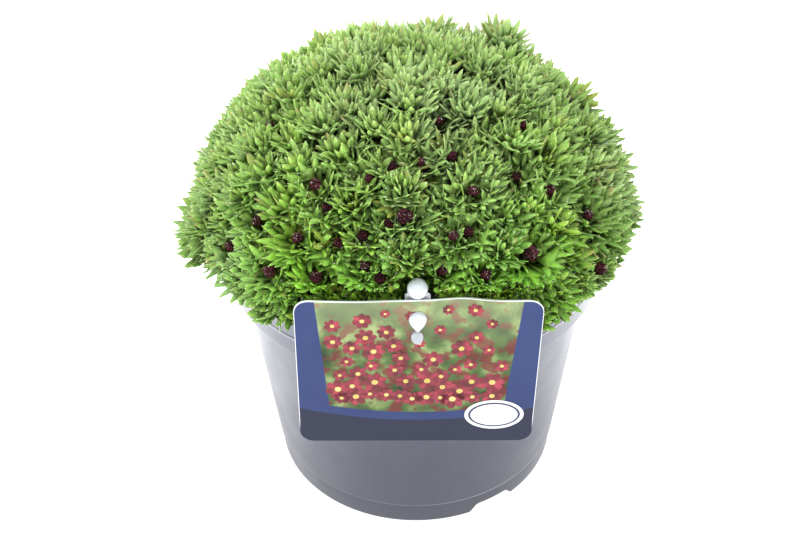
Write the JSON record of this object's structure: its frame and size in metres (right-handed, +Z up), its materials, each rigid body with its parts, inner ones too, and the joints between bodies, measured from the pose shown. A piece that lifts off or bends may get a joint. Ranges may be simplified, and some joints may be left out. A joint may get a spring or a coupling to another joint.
{
  "type": "potted mossy saxifrage",
  "caption": "Dense domed cushion of small three-lobed leaf rosettes with dark bud clusters, in a round collared nursery pot with a picture card clipped to the rim.",
  "frame": {"origin": "middle of the pot's flat underside, on the surface that it stands on", "axes": "+Z up along the pot's axis, -Y towards the front, where the card hangs, +X to the right of a viewer in front"},
  "size_m": [0.1666, 0.1528, 0.1652],
  "materials": {
    "pot": "satin grey plastic",
    "soil": "rough peat",
    "card": "printed plastic card",
    "clip": "milky translucent plastic",
    "leaf": "fleshy leaf with fine hairs",
    "bud": "dark satin bud"
  },
  "bodies": {
    "root": {"pot": "pot", "soil": "soil", "label_card": "card", "label_clip": "clip", "shoot_01": "leaf", "shoot_02": "leaf", "shoot_03": "leaf", "shoot_04": "leaf", "shoot_05": "leaf", "shoot_06": "leaf", "shoot_07": "leaf", "shoot_08": "leaf", "shoot_09": "leaf", "shoot_10": "leaf", "shoot_11": "leaf", "shoot_12": "leaf", "shoot_13": "leaf", "shoot_14": "leaf", "shoot_15": "leaf", "shoot_16": "leaf", "shoot_17": "leaf", "shoot_18": "leaf", "shoot_19": "leaf", "shoot_20": "leaf", "shoot_21": "leaf", "shoot_22": "leaf", "shoot_23": "leaf", "shoot_24": "leaf", "shoot_25": "leaf", "shoot_26": "leaf", "shoot_27": "leaf", "shoot_28": "leaf", "shoot_29": "leaf", "shoot_30": "leaf", "shoot_31": "leaf", "shoot_32": "leaf", "buds_01": "bud", "buds_02": "bud", "buds_03": "bud", "buds_04": "bud", "buds_05": "bud", "buds_06": "bud", "buds_07": "bud", "buds_08": "bud", "buds_09": "bud", "buds_10": "bud", "buds_11": "bud", "buds_12": "bud", "buds_13": "bud", "buds_14": "bud", "buds_15": "bud", "buds_16": "bud", "buds_17": "bud", "buds_18": "bud", "buds_19": "bud", "buds_20": "bud", "buds_21": "bud", "buds_22": "bud", "buds_23": "bud", "buds_24": "bud"}
  },
  "joints": []
}
